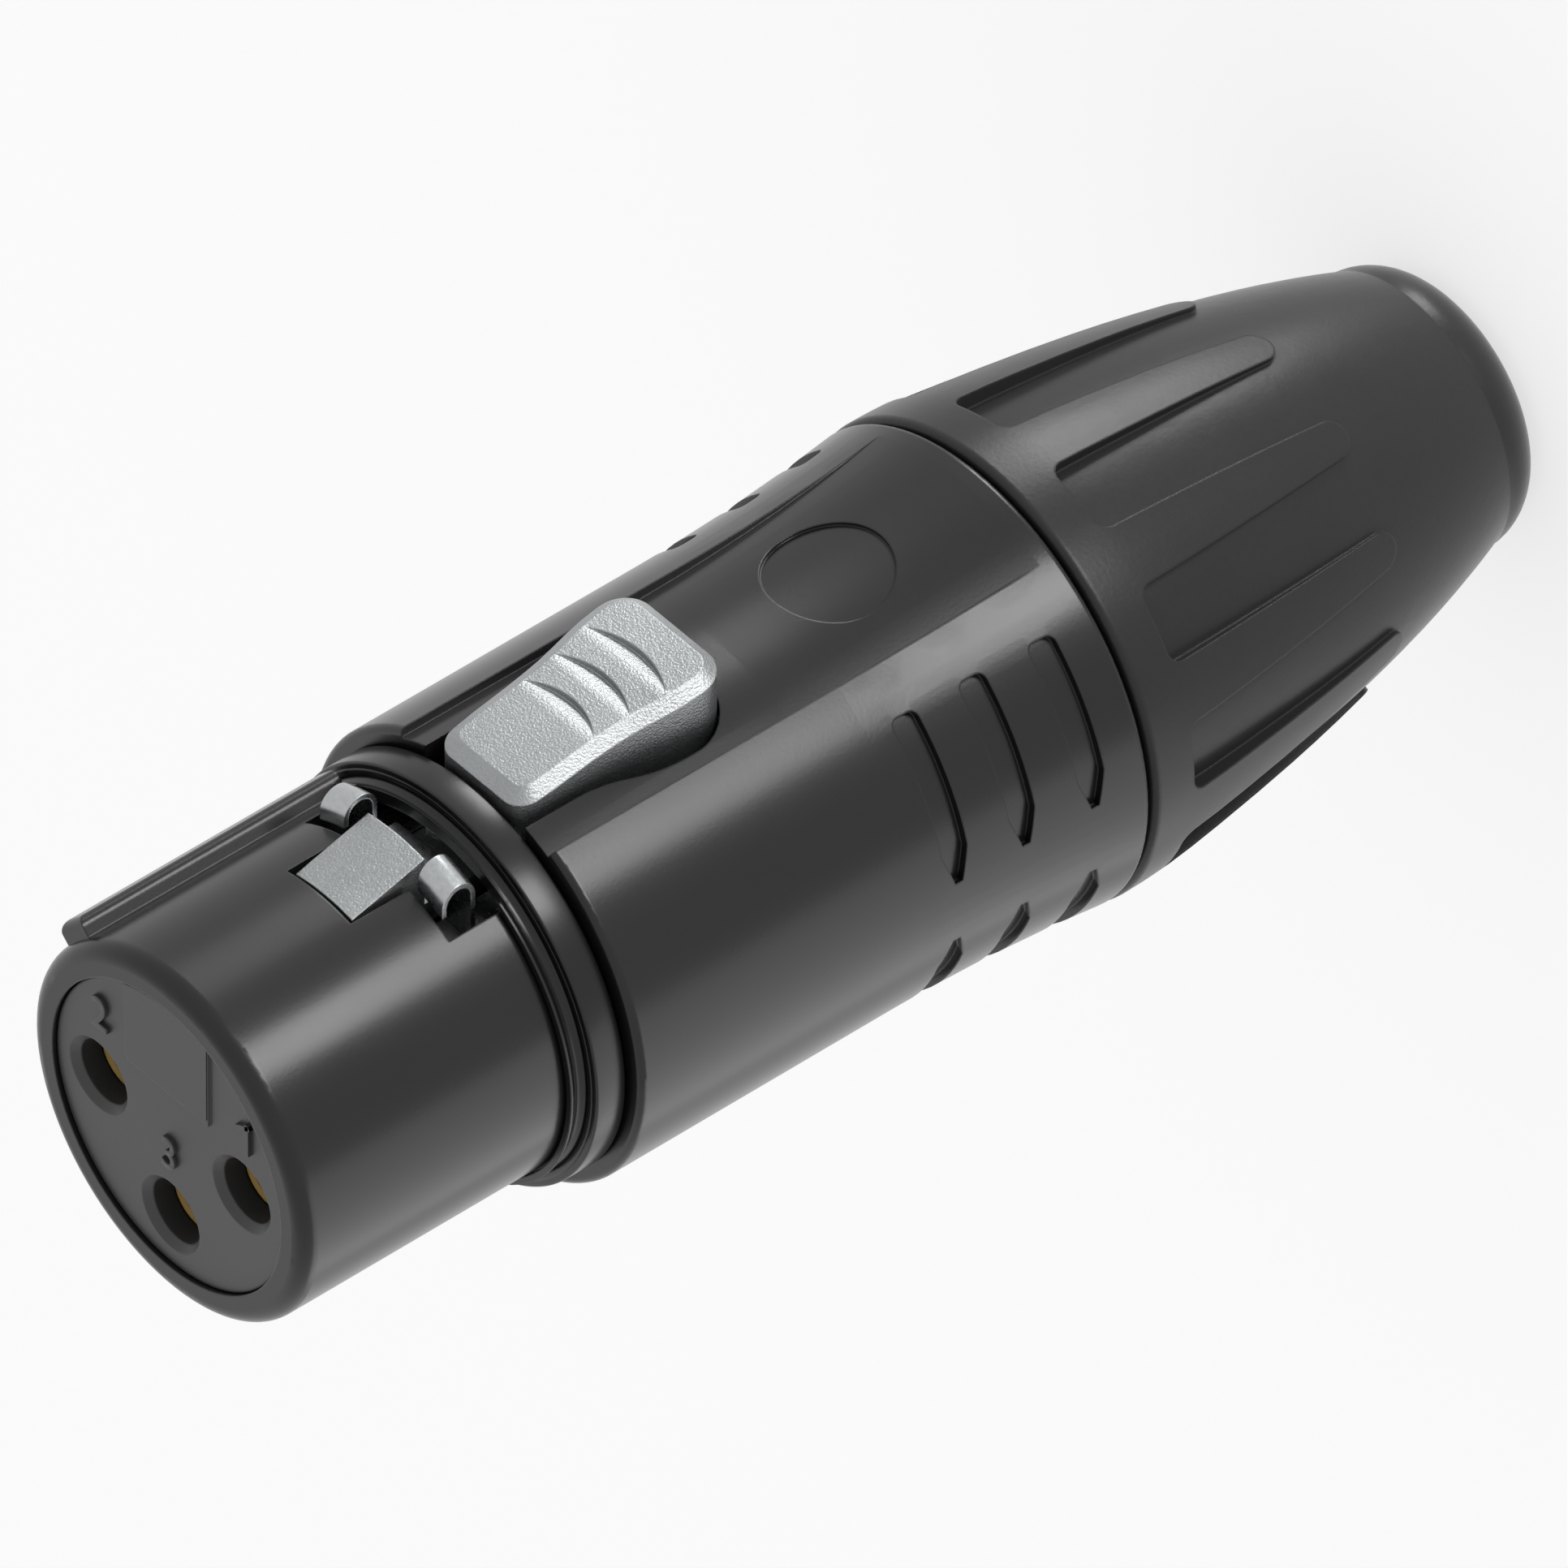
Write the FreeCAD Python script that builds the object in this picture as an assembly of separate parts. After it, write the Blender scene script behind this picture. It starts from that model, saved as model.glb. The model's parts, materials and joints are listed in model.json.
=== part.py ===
import FreeCAD, Part
import math
import os
from FreeCAD import Vector

# Female three-contact cable connector, standing on the cable end of its boot.
# +Z runs up the axis to the mating nose, the latch faces -Y and contact 1 lies on the -X side.
# The origin is the centre of the cable entry. All sizes are in millimetres and degrees.

# Stations along the axis, from the cable entry up to the nose
boot_length = 23.5
seam_gap = 0.15
body_length = 24.4
groove_width = 0.3
ring_width = 1.25
cove_length = 0.8
nose_length = 12.6

seam_z = boot_length
body_back_z = seam_z + seam_gap
body_front_z = body_back_z + body_length
ring_back_z = body_front_z + groove_width
ring_front_z = ring_back_z + ring_width
lip_z = ring_front_z + cove_length
nose_z = lip_z + nose_length

# Housing, outside
nose_radius = 7.95
nose_rounding = 0.7
lip_radius = nose_radius + 0.38
lip_land = 0.12
lip_undercut_width = 0.1
lip_undercut_depth = 0.4
cove_floor_radius = nose_radius + 0.11
cove_back_radius = nose_radius + 0.65
ring_seat_radius = nose_radius + 0.15
groove_floor_radius = nose_radius + 0.35
body_radius = nose_radius + 1.6
body_front_rounding = 0.3
flare_radius = body_radius + 0.62
flare_length = 10.5
body_back_rounding = 0.22

# Housing, inside
bore_radius = nose_radius - 1.35
flange_bore_radius = bore_radius + 1.4
shoulder_depth = 1.2
thread_radius = body_radius - 0.9
thread_length = 7.5
thread_relief = 0.4

# Coding ring
ring_radius = body_radius - 0.7
ring_rounding = 0.15

# Key rib on the nose
rib_angle = -46.5
rib_width = 1.75
rib_top_radius = nose_radius + 0.8
rib_setback = 0.6
rib_rounding = 0.4
rib_root = 0.6

# Sunken panel on the latch side
panel_half_angle = 27.2
panel_radius = body_radius - 0.35
panel_flare_length = 12.0
panel_end_setback = 0.8

# Blank round field for a maker's sign
sign_setback = 32.1
sign_radius = 2.55
sign_depth = 0.14

# Finger grips on the sides of the body
grip_setbacks = (30.5, 33.7, 36.9)
grip_width = 1.2
grip_depth = 0.35
grip_start_angle = 40.0
grip_end_angle = 83.0
grip_mirror_angle = 92.0
grip_taper = 1.35
grip_tip_width = 0.35

# Window in the nose for the latch tooth and the ground clip, set back from the nose
window_front_setback = 7.4
window_step_setback = 10.2
window_front_half_width = 1.84
window_back_half_width = 4.14
window_roof_radius = nose_radius - 0.45

# Latch lever, set back from the nose
tooth_front_setback = 7.55
tooth_top_setback = 11.1
tooth_front_height = nose_radius - 0.08
tooth_top_height = nose_radius + 0.67
tooth_undercut = 0.8
arm_half_width = 1.58
arm_top = nose_radius - 1.75
arm_bottom = arm_top - 1.0
cap_front_setback = 15.1
cap_back_setback = 24.6
cap_front_half_width = 2.5
cap_back_half_width = 3.25
cap_front_corner = 0.9
cap_back_corner = 1.9
cap_bend_start = 17.4
cap_bend_end = 22.2
cap_floor = nose_radius - 1.05
cap_top_front = body_radius - 0.05
cap_top_middle = body_radius + 0.85
cap_top_back = body_radius + 1.6
cap_chamfer = 0.5
cap_gap = 0.38
scallop_setbacks = (19.35, 20.9, 22.5)
scallop_widths = (3.7, 4.05, 4.4)
scallop_depth = 0.32
scallop_run = 1.3
scallop_bow = 0.75
tail_half_width = 2.1
tail_overlap = 1.0
eye_radius = 1.25

# Latch pin and spring
pin_setback = 26.0
pin_height = nose_radius - 1.85
pin_radius = 0.7
pin_half_length = 3.7
spring_setback = 19.0
spring_mean_radius = 1.35
spring_wire = 0.36
spring_coils = 4.5
spring_pocket_depth = 1.05
spigot_length = 0.8

# Contact carrier
face_recess = 0.2
carrier_back_z = nose_z - pin_setback - eye_radius - 0.35
channel_half_width = 2.0
channel_floor = arm_bottom - 1.75
recess_floor = cap_floor - 1.5
pad_width = 4.7
pad_low = 2.2
pad_high = 6.0
pad_height = 0.11
key_slot_width = 3.2
key_angles = (60.0, 180.0, 300.0)

# Contacts
contact_circle_radius = nose_radius - 3.81
contact_angles = (90.0, -90.0, 180.0)
contact_mouth_radius = 1.37
contact_mouth_chamfer = 0.3
contact_radius = 1.65
contact_bore_radius = 1.2
contact_bore_depth = 14.0
contact_setback = 1.3
contact_collar_radius = 1.95
contact_collar_length = 1.2
cup_radius = 1.45
cup_bore_radius = 1.05
cup_length = 5.2
cup_bore_depth = 4.6

# Ground clip
clip_sheet = 0.22
clip_curl_radius = 0.8
clip_curl_setback = 11.2
clip_curl_centre = nose_radius + 0.5
clip_inner_reach = 2.12
clip_outer_reach = 3.53
clip_front_leg = 0.35
clip_bar_height = nose_radius - 1.3
clip_bar_back_setback = 12.95
clip_foot_length = 2.2

# Cable clamp
clamp_play = 0.2
clamp_wall = 1.15
clamp_ring_length = 8.0
clamp_key_length = 6.0
clamp_key_thickness = 0.95
clamp_bite_radius = 3.7
clamp_bite_length = 6.0
clamp_tooth_depth = 0.45
clamp_teeth = 3
clamp_slit_width = 1.0
clamp_slit_length = 15.0

# Gland nut inside the boot
nut_tube_bore_radius = thread_radius - 1.0
nut_cone_top_z = seam_z - 2.0
nut_cone_bottom_z = seam_z - 12.5
nut_cone_bottom_radius = nut_tube_bore_radius - 1.9
nut_end_z = seam_z - 13.9
nut_hole_radius = 4.3
nut_shoulder_radius = thread_radius + 0.35
nut_end_radius = nut_cone_bottom_radius + 1.25
nut_thread_length = 7.1
clamp_radius = nut_tube_bore_radius - clamp_play

# Boot sleeve
boot_radius = flare_radius + 0.03
boot_front_rounding = 0.35
cable_hole_radius = 3.5
boot_end_rounding = 2.2
boot_flat_radius = boot_radius - 6.27
boot_tail_step = 0.18
flute_count = 11
flute_angle = 18.5
flute_width = 3.2
flute_corner = 0.6
flute_front_z = seam_z - 2.0
flute_back_z = seam_z - 14.1
land_corner = 0.72

# The boot's lands: distance behind the seam, draw-in of the radius, and depth of the flutes there
boot_knots = (
    (0.0, 0.0, 0.75),
    (2.0, 0.05, 0.67),
    (5.2, 0.4, 0.56),
    (11.1, 1.34, 0.32),
    (16.5, 2.58, boot_tail_step),
)

# Clearances
running_gap = 0.05
slide_gap = 0.1
seat_gap = 0.05


# Places and profiles
def from_nose(setback):
    return nose_z - setback


def latch_point(across, height, z):
    return Vector(across, -height, z)


def turn(shape, angle):
    # The angle runs from the latch towards contact 1.
    copy = shape.copy()
    copy.rotate(Vector(0, 0, 0), Vector(0, 0, 1), -angle)
    return copy


def path(place, start, *steps):
    # Each step is the next corner, or a pair: a point on an arc and the arc's end.
    edges = []
    here = start
    for step in steps:
        if isinstance(step[0], tuple):
            middle, end = step
            edges.append(Part.Arc(place(here), place(middle), place(end)).toShape())
        else:
            end = step
            edges.append(Part.LineSegment(place(here), place(end)).toShape())
        here = end
    if here != start:
        edges.append(Part.LineSegment(place(here), place(start)).toShape())
    return Part.Face(Part.Wire(edges))


def turned(start, *steps):
    # A solid of revolution from a half section of (radius, z) points
    section = path(lambda spot: Vector(spot[0], 0, spot[1]), start, *steps)
    return section.revolve(Vector(0, 0, 0), Vector(0, 0, 1), 360)


def sideways(half_width, start, *steps):
    # A plate across the latch side, from a profile of (z, height) points
    section = path(lambda spot: latch_point(-half_width, spot[1], spot[0]), start, *steps)
    return section.extrude(Vector(2 * half_width, 0, 0))


def block(half_width, low, high, bottom, top):
    # A box on the latch side, from the heights low and high and the stations bottom and top
    corner = latch_point(-half_width, high, bottom)
    return Part.makeBox(2 * half_width, high - low, top - bottom, corner)


def drum(radius, bottom, top):
    return Part.makeCylinder(radius, top - bottom, Vector(0, 0, bottom))


def band(inner, outer, bottom, top, start_angle, end_angle):
    # A sector of a tube, between two angles from the latch
    spread = end_angle - start_angle
    sector = Part.makeCylinder(outer, top - bottom, Vector(0, 0, bottom), Vector(0, 0, 1), spread)
    sector = sector.cut(drum(inner, bottom, top))
    sector.rotate(Vector(0, 0, 0), Vector(0, 0, 1), -90 - end_angle)
    return sector


def rims(shape, radius, z):
    # The circular edges of that radius at that station
    found = []
    for edge in shape.Edges:
        if isinstance(edge.Curve, Part.Circle):
            same_radius = abs(edge.Curve.Radius - radius) < 0.0001
            same_station = abs(edge.Curve.Center.z - z) < 0.0001
            if same_radius and same_station:
                found.append(edge)
    return found


def quarter(centre, radius, angle):
    # The point of a rounding at that angle from the outward direction
    reach = math.radians(angle)
    return (centre[0] + radius * math.cos(reach), centre[1] + radius * math.sin(reach))


# Shared outlines
def body_outline_radius(z):
    # The body is a cylinder that flares to the seam along an arc.
    fall = max(0.0, body_back_z + flare_length - z)
    return body_radius + (flare_radius - body_radius) * (fall / flare_length) ** 2


def panel_outline_radius(z):
    panel_end_z = body_back_z + panel_end_setback
    fall = max(0.0, panel_end_z + panel_flare_length - z)
    rise = body_outline_radius(panel_end_z) - panel_radius
    return panel_radius + rise * (fall / panel_flare_length) ** 2


def flared_drum(outline, sink, bottom, top, flare_top):
    # A solid drum under an outline, sunk by the same depth all over
    middle = 0.5 * (bottom + flare_top)
    return turned(
        (0, bottom),
        (outline(bottom) - sink, bottom),
        ((outline(middle) - sink, middle), (outline(flare_top) - sink, flare_top)),
        (outline(top) - sink, top),
        (0, top),
    )


def cap_outline():
    # The plan of the lever's cap: narrow in front, then an S-bend to a broad rounded back
    front_z = from_nose(cap_front_setback)
    back_z = from_nose(cap_back_setback)
    bend_z = from_nose(cap_bend_start)
    broad_z = from_nose(cap_bend_end)
    narrow = cap_front_half_width
    broad = cap_back_half_width
    step = broad - narrow
    run = bend_z - broad_z
    bend_radius = (run ** 2 + step ** 2) / (4 * step)
    half_turn = 0.5 * math.asin(0.5 * run / bend_radius)
    bulge = bend_radius * (1 - math.cos(half_turn))
    along = bend_radius * math.sin(half_turn)
    middle = (0.5 * (narrow + broad), 0.5 * (bend_z + broad_z))
    front_centre = (narrow - cap_front_corner, front_z - cap_front_corner)
    back_centre = (broad - cap_back_corner, back_z + cap_back_corner)

    def mirrored(spot):
        return (-spot[0], spot[1])

    side = [
        (narrow - cap_front_corner, front_z),
        (quarter(front_centre, cap_front_corner, 45), (narrow, front_z - cap_front_corner)),
        (narrow, bend_z),
        ((narrow + bulge, bend_z - along), middle),
        ((broad - bulge, broad_z + along), (broad, broad_z)),
        (broad, back_z + cap_back_corner),
        (quarter(back_centre, cap_back_corner, -45), (broad - cap_back_corner, back_z)),
    ]
    back_bend = mirrored(quarter(back_centre, cap_back_corner, -45))
    front_bend = mirrored(quarter(front_centre, cap_front_corner, 45))
    return side, [
        mirrored((broad - cap_back_corner, back_z)),
        (back_bend, mirrored((broad, back_z + cap_back_corner))),
        mirrored((broad, broad_z)),
        (mirrored((broad - bulge, broad_z + along)), mirrored(middle)),
        (mirrored((narrow + bulge, bend_z - along)), mirrored((narrow, bend_z))),
        mirrored((narrow, front_z - cap_front_corner)),
        (front_bend, mirrored((narrow - cap_front_corner, front_z))),
    ]


def cap_prism(low, high, growth):
    # The cap's plan drawn out between two heights, grown all round for the well that it moves in
    side, other_side = cap_outline()
    place = lambda spot: latch_point(spot[0], low, spot[1])
    face = path(place, side[0], *side[1:], *other_side)
    if growth > 0:
        grown = face.OuterWire.makeOffset2D(growth)
        face = Part.Face(grown)
    return face.extrude(Vector(0, low - high, 0))


def lever_well(low, high):
    # The well of the cap, open at the front up to the coding ring
    well = cap_prism(low, high, cap_gap)
    mouth_bottom = from_nose(cap_front_setback) - cap_front_corner
    return well.fuse(block(cap_front_half_width + cap_gap, low, high, mouth_bottom, ring_back_z))


def nose_window(low):
    outside = nose_radius + 1
    front = block(window_front_half_width, low, outside, from_nose(window_step_setback) - 0.5,
                  from_nose(window_front_setback))
    back = block(window_back_half_width, low, outside, lip_z - lip_undercut_depth,
                 from_nose(window_step_setback))
    return front.fuse(back)


# Housing and coding ring
def housing():
    thread_top_z = body_back_z + thread_length
    shoulder_z = body_front_z - shoulder_depth
    flare_top_z = body_back_z + flare_length
    flare_middle_z = 0.5 * (body_back_z + flare_top_z)
    nose_corner = (nose_radius - nose_rounding, nose_z - nose_rounding)
    undercut_radius = nose_radius + lip_undercut_width
    shell = turned(
        (thread_radius, body_back_z),
        (flare_radius, body_back_z),
        ((body_outline_radius(flare_middle_z), flare_middle_z), (body_radius, flare_top_z)),
        (body_radius, body_front_z),
        (groove_floor_radius, body_front_z),
        (groove_floor_radius, ring_back_z - seat_gap),
        (ring_seat_radius, ring_back_z - seat_gap),
        (ring_seat_radius, ring_front_z),
        (cove_back_radius, ring_front_z),
        ((cove_floor_radius, ring_front_z + 0.5 * (cove_length - lip_land)), (lip_radius, lip_z - lip_land)),
        (lip_radius, lip_z),
        (undercut_radius, lip_z),
        (undercut_radius, lip_z - lip_undercut_depth),
        (nose_radius, lip_z - lip_undercut_depth),
        (nose_radius, nose_z - nose_rounding),
        (quarter(nose_corner, nose_rounding, 45), (nose_radius - nose_rounding, nose_z)),
        (bore_radius, nose_z),
        (bore_radius, shoulder_z),
        (flange_bore_radius, shoulder_z),
        (flange_bore_radius, thread_top_z + thread_relief),
        (thread_radius, thread_top_z),
    )
    shell = shell.makeFillet(body_front_rounding, rims(shell, body_radius, body_front_z))
    shell = shell.makeFillet(body_back_rounding, rims(shell, flare_radius, body_back_z))
    shell = shell.fuse(key_rib())
    shell = shell.cut(panel_cut())
    shell = shell.cut(sign_field())
    for cutter in grip_cuts():
        shell = shell.cut(cutter)
    shell = shell.cut(nose_window(0.5 * bore_radius))
    roof = drum(window_roof_radius, shoulder_z, from_nose(window_step_setback))
    tunnel = block(window_back_half_width, 0.5 * bore_radius, bore_radius + 2, shoulder_z - 0.01,
                   from_nose(window_step_setback))
    shell = shell.cut(roof.common(tunnel))
    return shell.cut(lever_well(0.5 * bore_radius, body_radius + 1))


def key_rib():
    # The rib that keys the nose into the mating shell
    bottom = lip_z - lip_undercut_depth
    top = nose_z - rib_setback
    rib = block(0.5 * rib_width, nose_radius - rib_root, rib_top_radius, bottom, top)
    rounded = []
    for edge in rib.Edges:
        box = edge.BoundBox
        outer = abs(box.YMin + rib_top_radius) < 0.001 and box.YLength < 0.001
        lengthwise = box.ZLength > 1
        front = abs(box.ZMin - top) < 0.001 and box.XLength > 1
        if outer and (lengthwise or front):
            rounded.append(edge)
    return turn(rib.makeFillet(rib_rounding, rounded), rib_angle)


def panel_cut():
    # Everything above the sunken panel, between its two edges
    end_z = body_back_z + panel_end_setback
    outside = drum(flare_radius + 1, end_z, body_front_z + 0.01)
    floor = flared_drum(panel_outline_radius, 0, end_z, body_front_z + 0.01, end_z + panel_flare_length)
    sector = band(0.5 * bore_radius, flare_radius + 1, end_z, body_front_z + 0.01,
                  -panel_half_angle, panel_half_angle)
    return outside.cut(floor).common(sector)


def sign_field():
    # A plain round field sunk in the panel
    z = from_nose(sign_setback)
    end_z = body_back_z + panel_end_setback
    post = Part.makeCylinder(sign_radius, flare_radius, Vector(0, 0, z), Vector(0, -1, 0))
    floor = flared_drum(panel_outline_radius, sign_depth, end_z, body_front_z, end_z + panel_flare_length)
    return post.cut(floor)


def grip_cuts():
    # Three finger grips, repeated towards the back and on the other side of the body
    outside = drum(flare_radius + 1, body_back_z, body_front_z)
    floor = flared_drum(body_outline_radius, grip_depth, body_back_z, body_front_z,
                        body_back_z + flare_length)
    skin = outside.cut(floor)
    spread = 0.5 * (grip_end_angle - grip_start_angle)
    middle = 0.5 * (grip_end_angle + grip_start_angle)
    reach = body_radius * math.sin(math.radians(spread))
    half = 0.5 * grip_width
    tip = 0.5 * grip_tip_width
    cutters = []
    for setback in grip_setbacks:
        z = from_nose(setback)
        plan = path(
            lambda spot: latch_point(spot[0], body_radius - 3, z + spot[1]),
            (reach, -half),
            (reach, half),
            (grip_taper - reach, half),
            (-reach, tip),
            (-reach, -tip),
            (grip_taper - reach, -half),
        )
        prism = plan.extrude(Vector(0, -5, 0))
        corners = [edge for edge in prism.Edges if edge.BoundBox.YLength > 1 and edge.BoundBox.XMin > 0]
        prism = prism.makeFillet(0.3 * grip_width, corners)
        for mirror in (False, True):
            slot = prism.mirror(Vector(0, 0, 0), Vector(1, 0, 0)) if mirror else prism
            angle = 2 * grip_mirror_angle - middle if mirror else middle
            cutters.append(turn(slot, angle).common(skin))
            opposite = slot.mirror(Vector(0, 0, 0), Vector(1, 0, 0))
            cutters.append(turn(opposite, -angle).common(skin))
    return cutters


def coding_ring():
    inner = ring_seat_radius + seat_gap
    front = ring_front_z - seat_gap
    ring = turned(
        (inner, ring_back_z),
        (ring_radius, ring_back_z),
        (ring_radius, front),
        (inner, front),
    )
    edges = rims(ring, ring_radius, ring_back_z) + rims(ring, ring_radius, front)
    return ring.makeFillet(ring_rounding, edges)


# Contact carrier and contacts
def contact_place(angle):
    reach = math.radians(angle)
    return Vector(-math.sin(reach), -math.cos(reach), 0) * contact_circle_radius


def contact_carrier():
    face_z = nose_z - face_recess
    flange_z = body_front_z - shoulder_depth - seat_gap
    flange_radius = flange_bore_radius - running_gap
    front = drum(bore_radius - running_gap, flange_z - 1, face_z)
    body = front.fuse(drum(flange_radius, carrier_back_z, flange_z))
    pad = block(0.5 * pad_width, pad_low, pad_high, face_z - 0.5, face_z + pad_height)
    body = body.fuse(pad)
    for angle in contact_angles:
        spot = contact_place(angle)
        seat_z = face_z - contact_setback + seat_gap
        lead = 2 * contact_mouth_chamfer
        lead_z = face_z - contact_mouth_chamfer
        hole = Part.makeCone(contact_mouth_radius, contact_mouth_radius + lead, lead, Vector(0, 0, lead_z))
        hole = hole.fuse(drum(contact_mouth_radius, seat_z - 0.5, face_z + 1))
        hole = hole.fuse(drum(contact_radius + running_gap, carrier_back_z - 1, seat_z))
        collar_z = carrier_back_z + contact_collar_length + 2 * seat_gap
        hole = hole.fuse(drum(contact_collar_radius + running_gap, carrier_back_z - 1, collar_z))
        body = body.cut(hole.translated(spot))
    channel_top = from_nose(window_front_setback)
    outside = flange_radius + 1
    body = body.cut(block(channel_half_width, channel_floor, outside, carrier_back_z - 1, channel_top))
    side_recess = block(window_back_half_width, recess_floor, outside, clip_back_z() - seat_gap,
                        from_nose(window_step_setback))
    body = body.cut(side_recess)
    body = body.cut(lever_well(recess_floor, outside))
    tail = block(tail_half_width + slide_gap, channel_floor, outside, carrier_back_z - 1,
                 from_nose(cap_back_setback) + tail_overlap + slide_gap)
    body = body.cut(tail)
    pin_z = from_nose(pin_setback)
    notch = block(pin_half_length + slide_gap, pin_height, outside, pin_z - pin_radius - running_gap,
                  pin_z + pin_radius + running_gap)
    body = body.cut(notch.fuse(cross_pin(pin_radius + running_gap, pin_half_length + slide_gap)))
    spring_z = from_nose(spring_setback)
    pocket_radius = spring_mean_radius + 0.5 * spring_wire + 2 * slide_gap
    pocket = Part.makeCylinder(pocket_radius, channel_floor, latch_point(0, spring_floor(), spring_z),
                               Vector(0, -1, 0))
    body = body.cut(pocket)
    key_depth = clamp_key_thickness + 2 * slide_gap
    key_inner = clamp_radius - key_depth + slide_gap
    for angle in key_angles:
        slot = block(0.5 * key_slot_width, key_inner, outside, carrier_back_z - 1,
                     carrier_back_z + clamp_key_length + slide_gap)
        body = body.cut(turn(slot, angle))
    return body


def contact(angle):
    # A turned contact: a bore for the mating pin, a collar and a solder cup open to the outside
    front_z = nose_z - face_recess - contact_setback
    collar_bottom = carrier_back_z + seat_gap
    pin = turned(
        (0, collar_bottom),
        (contact_collar_radius, collar_bottom),
        (contact_collar_radius, collar_bottom + contact_collar_length),
        (contact_radius, collar_bottom + contact_collar_length),
        (contact_radius, front_z),
        (contact_bore_radius + 0.15, front_z),
        (contact_bore_radius, front_z - 0.15),
        (contact_bore_radius, front_z - contact_bore_depth),
        (0, front_z - contact_bore_depth - contact_bore_radius),
    )
    cup_bottom = collar_bottom - cup_length
    cup = drum(cup_radius, cup_bottom, collar_bottom)
    cup = cup.cut(drum(cup_bore_radius, cup_bottom, cup_bottom + cup_bore_depth))
    window_top = cup_bottom + 0.8 * cup_bore_depth
    window = block(cup_radius, 0.35 * cup_radius, 2 * cup_radius, cup_bottom, window_top)
    cup = turn(cup.cut(window), angle)
    whole = pin.fuse(cup)
    whole.translate(contact_place(angle))
    return whole


# Ground clip
def clip_back_z():
    return body_front_z + 0.4


def ground_clip():
    # One stamped strip: a bar over the lever's arm, and on each side a curl that meets the mating shell
    curl_z = from_nose(clip_curl_setback)
    bar_back_z = from_nose(clip_bar_back_setback)
    inner_curl = clip_curl_radius - clip_sheet
    bar_low = clip_bar_height - clip_sheet
    front_leg_end = clip_curl_centre - clip_front_leg
    crest = clip_curl_centre + clip_curl_radius
    floor = recess_floor + seat_gap
    leg_back_z = curl_z - clip_curl_radius
    leg_front_z = curl_z - inner_curl
    arch = turned(
        (front_leg_end, curl_z + clip_curl_radius),
        (clip_curl_centre, curl_z + clip_curl_radius),
        ((crest, curl_z), (clip_curl_centre, leg_back_z)),
        (floor, leg_back_z),
        (floor, leg_front_z),
        (clip_curl_centre, leg_front_z),
        ((crest - clip_sheet, curl_z), (clip_curl_centre, curl_z + inner_curl)),
        (front_leg_end, curl_z + inner_curl),
    )
    half_width = 0.5 * (clip_outer_reach - clip_inner_reach)
    clip = block(clip_inner_reach, bar_low, clip_bar_height, bar_back_z, leg_front_z)
    clip = clip.fuse(block(clip_inner_reach + clip_sheet, bar_low, clip_bar_height, leg_back_z, leg_front_z))
    for side in (-1, 1):
        middle = Vector(0.5 * side * (clip_inner_reach + clip_outer_reach), 0, 0)
        side_slice = block(half_width, floor, crest + 1, leg_back_z, curl_z + 1)
        foot = block(half_width, floor, floor + clip_sheet, leg_back_z - clip_foot_length, leg_front_z)
        clip = clip.fuse(arch.common(side_slice.translated(middle)))
        clip = clip.fuse(foot.translated(middle))
    return clip.removeSplitter()


# Latch lever, its pin and its spring
def cross_pin(radius, half_length):
    start = latch_point(-half_length, pin_height, from_nose(pin_setback))
    return Part.makeCylinder(radius, 2 * half_length, start, Vector(1, 0, 0))


def latch_cap():
    front_z = from_nose(cap_front_setback)
    back_z = from_nose(cap_back_setback)
    middle_z = 0.5 * (front_z + back_z)
    ceiling = cap_top_back + 3
    above = sideways(
        cap_back_half_width + 1,
        (front_z, cap_top_front),
        ((middle_z, cap_top_middle), (back_z, cap_top_back)),
        (back_z - 1, cap_top_back + 0.1),
        (back_z - 1, ceiling),
        (front_z + 1, ceiling),
        (front_z + 1, cap_top_front - 0.1),
    )
    cap = cap_prism(cap_floor, ceiling - 1, 0).cut(above)
    brim = []
    for edge in cap.Edges:
        middle = edge.valueAt(0.5 * (edge.FirstParameter + edge.LastParameter))
        spots = [vertex.Point for vertex in edge.Vertexes] + [middle]
        if all(-spot.y > cap_top_front - 0.01 for spot in spots):
            brim.append(edge)
    return cap.makeChamfer(cap_chamfer, brim)


def scallop(setback, width):
    # A thumb grip: a shallow scoop that ends in a curved step towards the back
    bow_radius = ((0.5 * width) ** 2 + scallop_bow ** 2) / (2 * scallop_bow)
    slope = math.degrees(math.atan((cap_top_back - cap_top_front) / (cap_back_setback - cap_front_setback)))
    pitch = math.degrees(math.atan(scallop_depth / scallop_run))
    disc = Part.makeCylinder(bow_radius, 3, Vector(0, 0, 0), Vector(0, -1, 0))
    disc.translate(Vector(0, 0, bow_radius))
    disc.rotate(Vector(0, 0, 0), Vector(1, 0, 0), slope - pitch)
    travel = (setback - cap_front_setback) / (cap_back_setback - cap_front_setback)
    surface = cap_top_front + travel * (cap_top_back - cap_top_front)
    crown = cap_top_middle - 0.5 * (cap_top_front + cap_top_back)
    surface = surface + 4 * crown * travel * (1 - travel)
    disc.translate(latch_point(0, surface - scallop_depth, from_nose(setback)))
    return disc


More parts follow.
